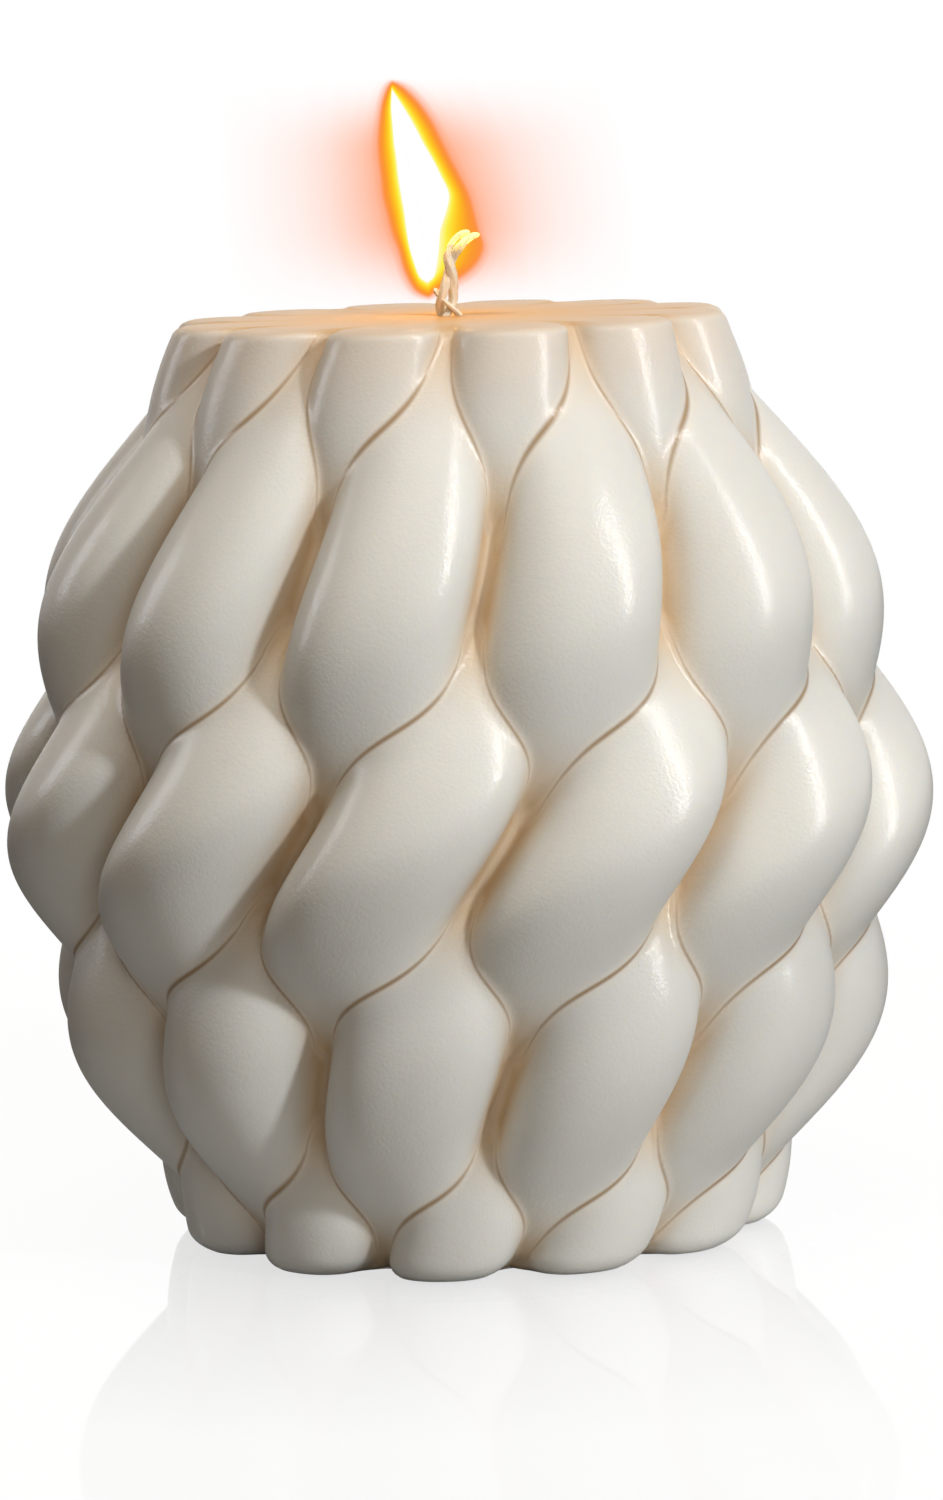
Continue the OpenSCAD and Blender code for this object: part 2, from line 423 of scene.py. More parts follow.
@dataclass
class WaxBody:
    """The wax casting: a barrel whose side is a ring of two-strand rope columns."""

    height: float
    belly_width: float = 80 * MM
    top_width: float = 47.8 * MM
    base_width: float = 51.4 * MM
    belly_z: float = 37.8 * MM
    columns: int = 12
    strand_depth: float = 12.5 * MM
    strand_width: float = 15.4 * MM
    strand_sway: float = 3.6 * MM
    leading_swing: float = 4 * MM
    following_swing: float = 1.9 * MM
    valley_fall: float = 0.3
    fullness: float = 2.5
    half_turn_top: float = 25.9 * MM
    half_turn_base: float = 17.8 * MM
    top_turn: float = math.radians(36)
    first_column: float = math.radians(-10.5)
    foot_round: float = 2 * MM
    rim_round: float = 0.7 * MM
    bore_r: float = 1.42 * MM
    neck_seat_r: float = 1.82 * MM
    neck_seat_z: float = 5.25 * MM
    disc_seat_r: float = 10.05 * MM
    disc_seat_z: float = 0.6 * MM
    crease_soft: float = 0.3 * MM
    crease_reach: float = 1.8 * MM
    crease_passes: int = 2
    crease_narrow: float = 4.0
    crease_ends: float = 4.0
    hollow_depth: float = 9 * MM
    unevenness: float = 0.3 * MM
    # In noise cells to a metre, so a swelling is about 18 mm wide.
    unevenness_scale: float = 55.0
    steps_around: int = 480
    # Rows up the side, in over the top, down the bore, out over the tab's seat in four stages and under the base.
    rows: tuple[int, ...] = (184, 4, 1, 1, 1, 1, 1, 8)
    crowding: float = 0.45

    def sizes(self) -> dict[str, float]:
        """Gives the casting's sizes as its tree takes them.

        Returns:
            A number for each named input of the tree.
        """
        belly_r = self.belly_width / 2 - self.strand_sway - self.strand_depth / 2
        rate = math.pi / self.half_turn_top
        return {
            "Height": self.height,
            "Belly Radius": belly_r,
            "Top Radius": belly_r * self.top_width / self.belly_width,
            "Base Radius": belly_r * self.base_width / self.belly_width,
            "Belly Height": self.belly_z,
            "Strand Depth": self.strand_depth,
            "Strand Width": self.strand_width,
            "Sway": self.strand_sway / belly_r,
            "Leading Swing": self.leading_swing / belly_r,
            "Following Swing": self.following_swing / belly_r,
            "Valley Fall": self.valley_fall,
            "Fullness": self.fullness,
            "Pitch": 2 * math.pi / self.columns,
            "First Column": self.first_column,
            "Top Turn": self.top_turn,
            "Turn Rate": rate,
            "Turn Gain": (math.pi / self.half_turn_base - rate) / (2 * self.height),
            "Foot Round": self.foot_round,
            "Rim Round": self.rim_round,
            "Bore Radius": self.bore_r,
            "Neck Seat Radius": self.neck_seat_r,
            "Neck Seat Height": self.neck_seat_z,
            "Disc Seat Radius": self.disc_seat_r,
            "Disc Seat Height": self.disc_seat_z,
            "Crease Softness": self.crease_soft,
            "Crease Reach": self.crease_reach,
            "Hollow Depth": self.hollow_depth,
            "Unevenness": self.unevenness,
        }

    def strand_tree(self) -> bpy.types.NodeTree:
        """Builds the tree that gives how far out one of a column's two strands reaches.

        Returns:
            A tree with the reach of the strand in the nearest column and in the next one, and the first's lead over
            the second, which changes sign where the two meet.
        """
        names = ("Angle", "Turn", "Column Radius", "Deep", "Wide", "Sway", "Swing", "Pitch", "Valley Fall", "Fullness")
        tree, add, given = new_tree("strand_reach", names, ("Near", "Far", "Lead"))
        angle, turn, radius, deep, wide, sway, swing, pitch, fall, fullness = given.outputs[: len(names)]
        forward = add("COSINE", [turn])
        aside = add("SINE", [turn])
        lift = add("MULTIPLY_ADD", [forward, sway, 1.0])
        out = add("MULTIPLY", [radius, lift])
        moved = add("MULTIPLY_ADD", [aside, swing, angle])
        half = add("MULTIPLY", [pitch, 0.5])
        back = add("MULTIPLY", [pitch, -0.5])
        near = add("WRAP", [moved, half, back])
        size = add("ABSOLUTE", [near])
        far = add("SUBTRACT", [pitch, size])
        reaches = []
        for off in (near, far):
            sine = add("SINE", [off])
            cosine = add("COSINE", [off])
            across = add("MULTIPLY", [out, sine])
            share = add("DIVIDE", [across, wide])
            share = add("ABSOLUTE", [share])
            power = add("POWER", [share, fullness])
            rest = add("SUBTRACT", [1.0, power])
            above = add("MAXIMUM", [rest, 0.0])
            below = add("MINIMUM", [rest, 0.0])
            bulge = add("SQRT", [above])
            skin = add("MULTIPLY_ADD", [below, fall, bulge])
            raised = add("MULTIPLY", [skin, deep])
            reaches.append(add("MULTIPLY_ADD", [out, cosine, raised]))
        side = add("SIGN", [near])
        lead = add("SUBTRACT", reaches)
        lead = add("MULTIPLY", [lead, side])
        add("NodeGroupOutput", [*reaches, lead])
        return tree

    def rounding(self, add: AddNode, radius: Any, distance: Any) -> bpy.types.Node:
        """Adds the nodes for what a quarter round takes off at a distance from its end face.

        Args:
            add: adds nodes to the tree.
            radius: socket with the rounding's radius.
            distance: node or socket with the distance from the end face.

        Returns:
            The node with the amount taken off.
        """
        left = add("SUBTRACT", [radius, distance])
        kept = add("MAXIMUM", [left, 0.0])
        kept = add("MINIMUM", [kept, radius])
        square = add("MULTIPLY", [kept, kept])
        whole = add("MULTIPLY", [radius, radius])
        rest = add("SUBTRACT", [whole, square])
        root = add("SQRT", [rest])
        return add("SUBTRACT", [radius, root])

    def turn_at(self, add: AddNode, size: dict[str, Any], z: Any) -> bpy.types.Node:
        """Adds the nodes for how far the leading strands have turned at a height.

        Args:
            add: adds nodes to the tree.
            size: sockets of the tree's named inputs.
            z: node or socket with the height.

        Returns:
            The node with the turn in radians.
        """
        down = add("SUBTRACT", [size["Height"], z])
        gain = add("MULTIPLY_ADD", [down, size["Turn Gain"], size["Turn Rate"]])
        return add("MULTIPLY_ADD", [gain, down, size["Top Turn"]])

    def lean_at(self, add: AddNode, size: dict[str, Any], turn: Any) -> bpy.types.Node:
        """Adds the nodes for how far the front strands lean, added up from row to row.

        The skin's grid leans by this much, so its lines run along the creases and cut no teeth into them.

        Args:
            add: adds nodes to the tree.
            size: sockets of the tree's named inputs.
            turn: node with the leading strands' turn.

        Returns:
            The node with the lean as an angle round the barrel.
        """
        halves = add("MULTIPLY_ADD", [turn, 1 / math.pi, 0.5])
        count = add("FLOOR", [halves])
        pairs = add("MULTIPLY", [count, 0.5])
        behind = add("FLOOR", [pairs])
        ahead = add("SUBTRACT", [count, behind])
        is_behind = add("SUBTRACT", [ahead, behind])
        leading, following = size["Leading Swing"], size["Following Swing"]
        swing = add(MIX, {"Factor": is_behind, "A": leading, "B": following})
        sign = add("MULTIPLY_ADD", [is_behind, -2.0, 1.0])
        aside = add("MULTIPLY", [add("SINE", [turn]), sign])
        rows = add("MULTIPLY", [ahead, leading])
        rows = add("MULTIPLY_ADD", [behind, following, rows])
        swung = add("MULTIPLY_ADD", [aside, swing, swing])
        return add("MULTIPLY_ADD", [rows, 2.0, swung])

    def eased(self, add: AddNode, skin: bpy.types.Node) -> bpy.types.Node:
        """Adds the nodes that draw the creases smooth where they cross the grid.

        Args:
            add: adds nodes to the tree.
            skin: node with the closed skin, marked with its creases.

        Returns:
            The node with the eased skin.
        """
        crease = add("GeometryNodeInputNamedAttribute", ["crease"], data_type="FLOAT")
        here = add("GeometryNodeInputPosition")
        high = add("ShaderNodeSeparateXYZ", [here]).outputs["Z"]
        off_ends = add(MAP, [high, 0.0, self.height, 0.0, math.pi])
        off_ends = add("SINE", [off_ends])
        share = add("MULTIPLY", [off_ends, self.crease_ends], use_clamp=True)
        narrow = add("POWER", [crease, self.crease_narrow])
        share = add("MULTIPLY", [share, narrow])
        spread = add(
            "GeometryNodeBlurAttribute", {"Value": here, "Iterations": self.crease_passes, "Weight": share},
            data_type="FLOAT_VECTOR",
        )
        moved = add("GeometryNodeSetPosition", {"Geometry": skin, "Position": spread})
        fade = add("GeometryNodeBlurAttribute", {"Value": crease, "Iterations": 1, "Weight": 1.0}, data_type="FLOAT")
        return add(
            "GeometryNodeStoreNamedAttribute",
            {"Geometry": moved, "Name": "crease", "Value": fade}, data_type="FLOAT", domain="POINT",
        )

    def body_tree(self, material: bpy.types.Material) -> bpy.types.NodeTree:
        """Builds the tree of the whole casting: side, flat top, wick bore, tab seat and base in one skin.

        Args:
            material: the wax.

        Returns:
            The tree. Its named inputs are the casting's sizes.
        """
        names = tuple(self.sizes())
        tree, add, given = new_tree("rope_barrel", names, ("Geometry",))
        size = {name: given.outputs[name] for name in names}
        stops = list(accumulate(self.rows, initial=0))
        sheet = add(
            "GeometryNodeMeshGrid",
            {"Size X": 1.0, "Size Y": 1.0, "Vertices X": self.steps_around + 1, "Vertices Y": stops[-1] + 1},
        )
        flat = add("ShaderNodeSeparateXYZ", [add("GeometryNodeInputPosition")])
        row = add(MAP, [flat.outputs["Y"], -0.5, 0.5, 0.0, float(stops[-1])])
        side, top, bore, seat_out, seat_down, disc_out, disc_down, base = (
            add(MAP, [row, float(a), float(b), 0.0, 1.0]) for a, b in zip(stops, stops[1:])
        )

        # Height: rows crowd towards the rim and the feet, where the skin turns fastest.
        eased = add(MAP, [side, 0.0, 1.0, 0.0, 1.0], **SOFT)
        crowd = add(MIX, {"Factor": self.crowding, "A": side, "B": eased})
        z = add("MULTIPLY", [crowd, size["Height"]])

        # Angle: the grid leans with the strands up the side, and goes back to its start under the base.
        left = add("SUBTRACT", [1.0, base])
        lean_z = add("MULTIPLY", [z, left])
        lean = self.lean_at(add, size, self.turn_at(add, size, lean_z))
        ahead = add("SUBTRACT", [size["Leading Swing"], lean])
        from_first = add("MULTIPLY_ADD", [flat.outputs["X"], 2 * math.pi, ahead])
        angle = add("ADD", [from_first, size["First Column"]])
        levels = (
            (bore, size["Height"], size["Neck Seat Height"]),
            (seat_down, size["Neck Seat Height"], size["Disc Seat Height"]),
            (disc_down, size["Disc Seat Height"], 0.0),
        )
        for share, start, end in levels:
            drop = add("SUBTRACT", [end, start])
            z = add("MULTIPLY_ADD", [drop, share, z])

        # Barrel: a cosine curve from the belly to each end.
        under = add("LESS_THAN", [z, size["Belly Height"]])
        end_r = add(MIX, {"Factor": under, "A": size["Top Radius"], "B": size["Base Radius"]})
        above = add("SUBTRACT", [size["Height"], size["Belly Height"]])
        span = add(MIX, {"Factor": under, "A": above, "B": size["Belly Height"]})
        from_belly = add("SUBTRACT", [z, size["Belly Height"]])
        along = add("DIVIDE", [from_belly, span])
        bend = add("MULTIPLY", [along, math.pi / 2])
        swell = add("COSINE", [bend])
        more = add("SUBTRACT", [size["Belly Radius"], end_r])
        radius = add("MULTIPLY_ADD", [swell, more, end_r])
        scale = add("DIVIDE", [radius, size["Belly Radius"]])

        # Turn of the leading strands, and the section that the rounded feet and rim leave of a strand.
        turn = self.turn_at(add, size, z)
        down = add("SUBTRACT", [size["Height"], z])
        trim = add("ADD", [self.rounding(add, size["Foot Round"], z), self.rounding(add, size["Rim Round"], down)])
        section = []
        for name in ("Strand Depth", "Strand Width"):
            half = add("MULTIPLY", [size[name], 0.5])
            local = add("MULTIPLY", [half, scale])
            section.append(add("SUBTRACT", [local, trim]))

        # Skin: the furthest of the four nearest strands, with the creases between them eased.
        strand = self.strand_tree()
        behind = add("SUBTRACT", [turn, math.pi])
        one, two = (
            add(
                "GeometryNodeGroup", node_tree=strand,
                links=[from_first, phase, radius, *section, size["Sway"], size[swing], size["Pitch"],
                       size["Valley Fall"], size["Fullness"]],
            )
            for phase, swing in ((turn, "Leading Swing"), (behind, "Following Swing"))
        )
        skin = one.outputs["Near"]
        for other in (two.outputs["Near"], one.outputs["Far"], two.outputs["Far"]):
            skin = add("SMOOTH_MAX", [skin, other, size["Crease Softness"]])
        first = add("MAXIMUM", [one.outputs["Near"], two.outputs["Near"]])
        second = add("MINIMUM", [one.outputs["Near"], two.outputs["Near"]])
        for other in (one.outputs["Far"], two.outputs["Far"]):
            second = add("MAXIMUM", [second, other])
        lead = add("SUBTRACT", [first, second])
        crease = add(MAP, [lead, 0.0, size["Crease Reach"], 1.0, 0.0])
        # Leads that change sign at a crease, so that its painted crease shade stays sharper than the grid.
        over_other = add("SUBTRACT", [one.outputs["Near"], two.outputs["Near"]])
        is_one = add("GREATER_THAN", [over_other, 0.0])
        over_next = add(MIX, {"Factor": is_one, "A": two.outputs["Lead"], "B": one.outputs["Lead"]})
        peak = add("MULTIPLY_ADD", [radius, size["Sway"], radius])
        peak = add("ADD", [peak, section[0]])
        sunk = add("SUBTRACT", [peak, skin])
        deepest = add("MULTIPLY", [size["Hollow Depth"], scale])
        hollow = add(MAP, [sunk, 0.0, deepest, 0.0, 1.0])

        # Radius: the skin on the side, then the flat top's way in to the bore and the base's way out.
        bore_to_neck = add("SUBTRACT", [size["Neck Seat Radius"], size["Bore Radius"]])
        neck_to_disc = add("SUBTRACT", [size["Disc Seat Radius"], size["Neck Seat Radius"]])
        inner = add("MULTIPLY_ADD", [bore_to_neck, seat_out, size["Bore Radius"]])
        inner = add("MULTIPLY_ADD", [neck_to_disc, disc_out, inner])
        inward = add(MIX, {"Factor": top, "A": skin, "B": inner})
        r = add(MIX, {"Factor": base, "A": inward, "B": skin})

        sine = add("SINE", [angle])
        cosine = add("COSINE", [angle])
        x = add("MULTIPLY", [r, sine])
        minus = add("MULTIPLY", [r, -1.0])
        y = add("MULTIPLY", [minus, cosine])
        spot = add("ShaderNodeCombineXYZ", [x, y, z])

        # A soft mould never gives two quite equal strands: the side swells and sinks a little.
        wander = add("ShaderNodeTexNoise", {"Vector": spot, "Scale": self.unevenness_scale, "Detail": 1.0})
        drift = add("SUBTRACT", [wander, 0.5])
        off_ends = add(MAP, [z, 0.0, self.height, 0.0, math.pi])
        mid = add("SINE", [off_ends])
        amount = add("MULTIPLY", [drift, mid])
        swelling = add("MULTIPLY", [amount, size["Unevenness"]])
        outside = add("SUBTRACT", [1.0, top])
        swelling = add("MULTIPLY", [swelling, outside])
        outward = add("ShaderNodeCombineXYZ", [x, y, 0.0])
        outward = add("ShaderNodeVectorMath", [outward], operation="NORMALIZE")
        shift = add("ShaderNodeVectorMath", {0: outward, "Scale": swelling}, operation="SCALE")
        place = add("ShaderNodeVectorMath", [spot, shift], operation="ADD")

        # Marks for the finish and its painted shade and edge light, on the side only: nearness to a crease, depth of a
        # hollow and leads over neighbours.
        marked = sheet
        marks = {"crease": crease, "hollow": hollow, "over_other": over_other, "over_next": over_next}
        for name, mark in marks.items():
            on_side = add("MULTIPLY", [mark, outside])
            marked = add(
                "GeometryNodeStoreNamedAttribute",
                {"Geometry": marked, "Name": name, "Value": on_side}, data_type="FLOAT", domain="POINT",
            )
        wrapped = add("GeometryNodeSetPosition", {"Geometry": marked, "Position": place})
        closed = add("GeometryNodeMergeByDistance", {"Geometry": wrapped, "Distance": WELD})
        smooth = add("GeometryNodeSetShadeSmooth", {"Geometry": self.eased(add, closed), "Shade Smooth": True})
        whole = add("GeometryNodeRealizeInstances", {"Geometry": smooth})
        dressed = add("GeometryNodeSetMaterial", {"Geometry": whole, "Material": material})
        add("NodeGroupOutput", [dressed])
        return tree

    def build(self, wax: CastWax) -> bpy.types.Object:
        """Builds the casting.

        Args:
            wax: the finish.

        Returns:
            The finished piece.
        """
        piece = grown_piece("wax_casting", self.body_tree(wax.material(self.height)), self.sizes())
        finish_piece(piece, "wax", "wax_body")
        return piece


@dataclass
class Wick:
    """The plaited wick: three plies of twisted cotton that curl over at the burnt end."""

    foot: float = 0.4 * MM
    straight: float = 81.8 * MM
    curl_radius: float = 2.4 * MM
    curl_angle: float = math.radians(100)
    plait_pitch: float = 9 * MM
    plait_width: float = 0.958 * MM
    plait_depth: float = 0.553 * MM
    ply_radius: float = 0.39 * MM
    lengths: tuple[float, float, float] = (85.99 * MM, 85.21 * MM, 79.99 * MM)
    stub_lean: float = 1.0 * MM
    stub_reach: float = 3 * MM
    # The yarn starts to glow, and glows fully, this far below the top of its bend.
    ember_from: float = 1.6 * MM
    ember_to: float = 0.2 * MM
    stem_from: float = 77.4 * MM
    stem_to: float = 80.2 * MM
    stem_tight: float = 0.42
    stem_swell: float = 1.2
    tip_reach: float = 3 * MM
    tip_thin: float = 0.6
    threads: int = 5
    thread_pitch: float = 3 * MM
    thread_ridge: float = 0.1
    steps_around: int = 20
    rows: int = 240
    crowding: float = 2.5

    def ply_sizes(self) -> dict[str, float]:
        """Gives the sizes that all plies share.

        Returns:
            A number for each named input that a ply's tree has in common with the wick's.
        """
        return {
            "Foot": self.foot,
            "Straight": self.straight,
            "Curl Radius": self.curl_radius,
            "Curl Angle": self.curl_angle,
            "Plait Turn": 2 * math.pi / self.plait_pitch,
            "Plait Width": self.plait_width,
            "Plait Depth": self.plait_depth,
            "Ply Radius": self.ply_radius,
            "Thread Turn": 2 * math.pi / self.thread_pitch,
            "Lean Reach": self.stub_reach,
            "Stem From": self.stem_from,
            "Stem To": self.stem_to,
        }

    def sizes(self) -> dict[str, float]:
        """Gives the wick's sizes as its tree takes them.

        Returns:
            A number for each named input of the tree.
        """
        return {
            **self.ply_sizes(),
            "First Length": self.lengths[0],
            "Second Length": self.lengths[1],
            "Stub Length": self.lengths[2],
            "Stub Lean": -self.stub_lean,
        }

    def ply_tree(self) -> bpy.types.NodeTree:
        """Builds the tree of one ply: a bundle of twisted threads that follows its way through the plait.

        Returns:
            The tree. Its named inputs are the wick's sizes and the ply's own length, lay and lean.
        """
        names = (*self.ply_sizes(), "Length", "Lay", "Lean")
        tree, add, given = new_tree("wick_ply", names, ("Geometry",))
        size = {name: given.outputs[name] for name in names}
        sheet = add(
            "GeometryNodeMeshGrid",
            {"Size X": 1.0, "Size Y": 1.0, "Vertices X": self.steps_around + 1, "Vertices Y": self.rows + 1},
        )
        flat = add("ShaderNodeSeparateXYZ", [add("GeometryNodeInputPosition")])
        about = add("MULTIPLY", [flat.outputs["X"], 2 * math.pi])
        # Rows crowd towards the free end, which is all that shows above the wax.
        share = add(MAP, [flat.outputs["Y"], -0.5, 0.5, 1.0, 0.0])
        crowd = add("POWER", [share, self.crowding])
        to_end = add("MULTIPLY", [crowd, size["Length"]])
        along = add("SUBTRACT", [size["Length"], to_end])

        # The middle of the plait stands upright, then curls over to the right.
        past = add("SUBTRACT", [along, size["Straight"]])
        past = add("DIVIDE", [past, size["Curl Radius"]])
        past = add("MAXIMUM", [past, 0.0])
        bend = add("MINIMUM", [past, size["Curl Angle"]])
        sine = add("SINE", [bend])
        cosine = add("COSINE", [bend])
        upright = add("MINIMUM", [along, size["Straight"]])
        rise = add("MULTIPLY_ADD", [sine, size["Curl Radius"], upright])
        minus = add("SUBTRACT", [1.0, cosine])
        over = add("MULTIPLY", [minus, size["Curl Radius"]])

        # The ply weaves from side to side once and through the plait twice in each turn.
        lay = add("MULTIPLY_ADD", [along, size["Plait Turn"], size["Lay"]])
        side = add("MULTIPLY", [add("SINE", [lay]), size["Plait Width"]])
        twice = add("MULTIPLY", [lay, 2.0])
        back = add("MULTIPLY", [add("SINE", [twice]), size["Plait Depth"]])
        # Above the wax the plait draws together into one thicker stem.
        drawn = add(MAP, [along, size["Stem From"], size["Stem To"], 0.0, 1.0], **SOFT)
        tight = add("MULTIPLY_ADD", [drawn, self.stem_tight - 1.0, 1.0])
        swollen = add("MULTIPLY_ADD", [drawn, self.stem_swell - 1.0, 1.0])
        side = add("MULTIPLY", [side, tight])
        back = add("MULTIPLY", [back, tight])
        free = add("DIVIDE", [to_end, size["Lean Reach"]])
        free = add(MAP, [free, 0.0, 1.0, 1.0, 0.0], **SOFT)
        side = add("MULTIPLY_ADD", [free, size["Lean"], side])

        # Threads make ridges that wind round the ply, and both of its ends are rounded off.
        wound = add("MULTIPLY", [along, size["Thread Turn"]])
        wound = add("MULTIPLY_ADD", [about, float(self.threads), wound])
        ridge = add("COSINE", [wound])
        ridge = add("MULTIPLY_ADD", [ridge, self.thread_ridge, 1.0 - self.thread_ridge])
        near_end = add("MINIMUM", [along, to_end])
        near_end = add("DIVIDE", [near_end, size["Ply Radius"]])
        cut = add(MAP, [near_end, 0.0, 1.0, 1.0, 0.0])
        cut = add("MULTIPLY", [cut, cut])
        cut = add("SUBTRACT", [1.0, cut])
        cap = add("SQRT", [cut])
        thick = add("MULTIPLY", [ridge, size["Ply Radius"]])
        thick = add("MULTIPLY", [thick, cap])
        thick = add("MULTIPLY", [thick, swollen])
        # The flame has eaten into the last of it.
        eaten = add(MAP, [to_end, 0.0, self.tip_reach, self.tip_thin, 1.0])
        thick = add("MULTIPLY", [thick, eaten])
        across = add("MULTIPLY_ADD", [add("COSINE", [about]), thick, side])
        deep = add("MULTIPLY_ADD", [add("SINE", [about]), thick, back])
        x = add("MULTIPLY_ADD", [across, cosine, over])
        drop = add("MULTIPLY", [across, sine])
        z = add("SUBTRACT", [rise, drop])
        z = add("ADD", [z, size["Foot"]])
        place = add("ShaderNodeCombineXYZ", [x, deep, z])
        wrapped = add("GeometryNodeSetPosition", {"Geometry": sheet, "Position": place})
        closed = add("GeometryNodeMergeByDistance", {"Geometry": wrapped, "Distance": WELD})
        add("NodeGroupOutput", [closed])
        return tree

    def plait_tree(self, material: bpy.types.Material) -> bpy.types.NodeTree:
        """Builds the tree that plaits three plies into the wick.

        Args:
            material: the yarn.

        Returns:
            The tree. Its named inputs are the wick's sizes.
        """
        names = tuple(self.sizes())
        tree, add, given = new_tree("plaited_wick", names, ("Geometry",))
        size = {name: given.outputs[name] for name in names}
        ply = self.ply_tree()
        joined = tree.nodes.new("GeometryNodeJoinGeometry")
        ends = (("First Length", 0.0), ("Second Length", 0.0), ("Stub Length", size["Stub Lean"]))
        shared = [size[name] for name in self.ply_sizes()]
        for number, (length, lean) in enumerate(ends):
            lay = 2 * math.pi * number / len(ends)
            strand = add("GeometryNodeGroup", [*shared, size[length], lay, lean], node_tree=ply)
            tree.links.new(strand.outputs[0], joined.inputs[0])
        smooth = add("GeometryNodeSetShadeSmooth", {"Geometry": joined, "Shade Smooth": True})
        whole = add("GeometryNodeRealizeInstances", {"Geometry": smooth})
        dressed = add("GeometryNodeSetMaterial", {"Geometry": whole, "Material": material})
        add("NodeGroupOutput", [dressed])
        return tree

    def build(self, yarn: CottonYarn) -> bpy.types.Object:
        """Builds the wick.

        Args:
            yarn: the finish.

        Returns:
            The finished piece.
        """
        bend_top = self.foot + self.straight + self.curl_radius
        tree = self.plait_tree(yarn.material(bend_top - self.ember_from, bend_top - self.ember_to))
        piece = grown_piece("plaited_wick", tree, self.sizes())
        finish_piece(piece, "wick", "wick_ply_1", "wick_ply_2", "wick_ply_3")
        return piece


@dataclass
class WickTab:
    """The pressed tab that holds the wick at the base. It keeps its CAD mesh."""

    node: str = "wick_tab"

    def dress(self, sheet: TinnedSheet) -> None:
        """Gives the tab its finish.

        Args:
            sheet: the finish.
        """
        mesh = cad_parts[self.node].data
        mesh.materials.clear()
        mesh.materials.append(sheet.material())
        LOG.info("%s: %d faces", self.node, len(mesh.polygons))


@dataclass
class FlameMesh:
    """Corners, faces and lights of the flame while it is put together."""

    base: float
    points: list[tuple[float, float, float]]
    faces: list[tuple[int, ...]]
    lights: list[tuple[float, float, float, float]]
    known: dict[tuple[float, ...], int]

    def corner(self, spot: tuple[float, float, float], light: str, cover: float) -> int:
        """Adds a corner once.

        Args:
            spot: its place in mm, from the middle of the flat top.
            light: its light.
            cover: how much it hides of what is behind it.

        Returns:
            The corner's number.
        """
        key = tuple(round(value, 4) for value in spot)
        if key not in self.known:
            self.known[key] = len(self.points)
            self.points.append((spot[0] * MM, spot[1] * MM, self.base + spot[2] * MM))
            self.lights.append((*linear(light)[:3], cover))
        return self.known[key]

    def face(self, corners: Sequence[int]) -> None:
        """Adds a face, leaving out corners that fall together.

        Args:
            corners: numbers of its corners, in order.
        """
        distinct = tuple(dict.fromkeys(corners))
        if len(distinct) > 2:
            self.faces.append(distinct)


@dataclass(frozen=True)
class FlameBand:
    """A line of one light in the flame: its place from heart (0) to mantle (1), mm beyond that, light and cover."""

    out: float
    swell: float
    light: str
    cover: float


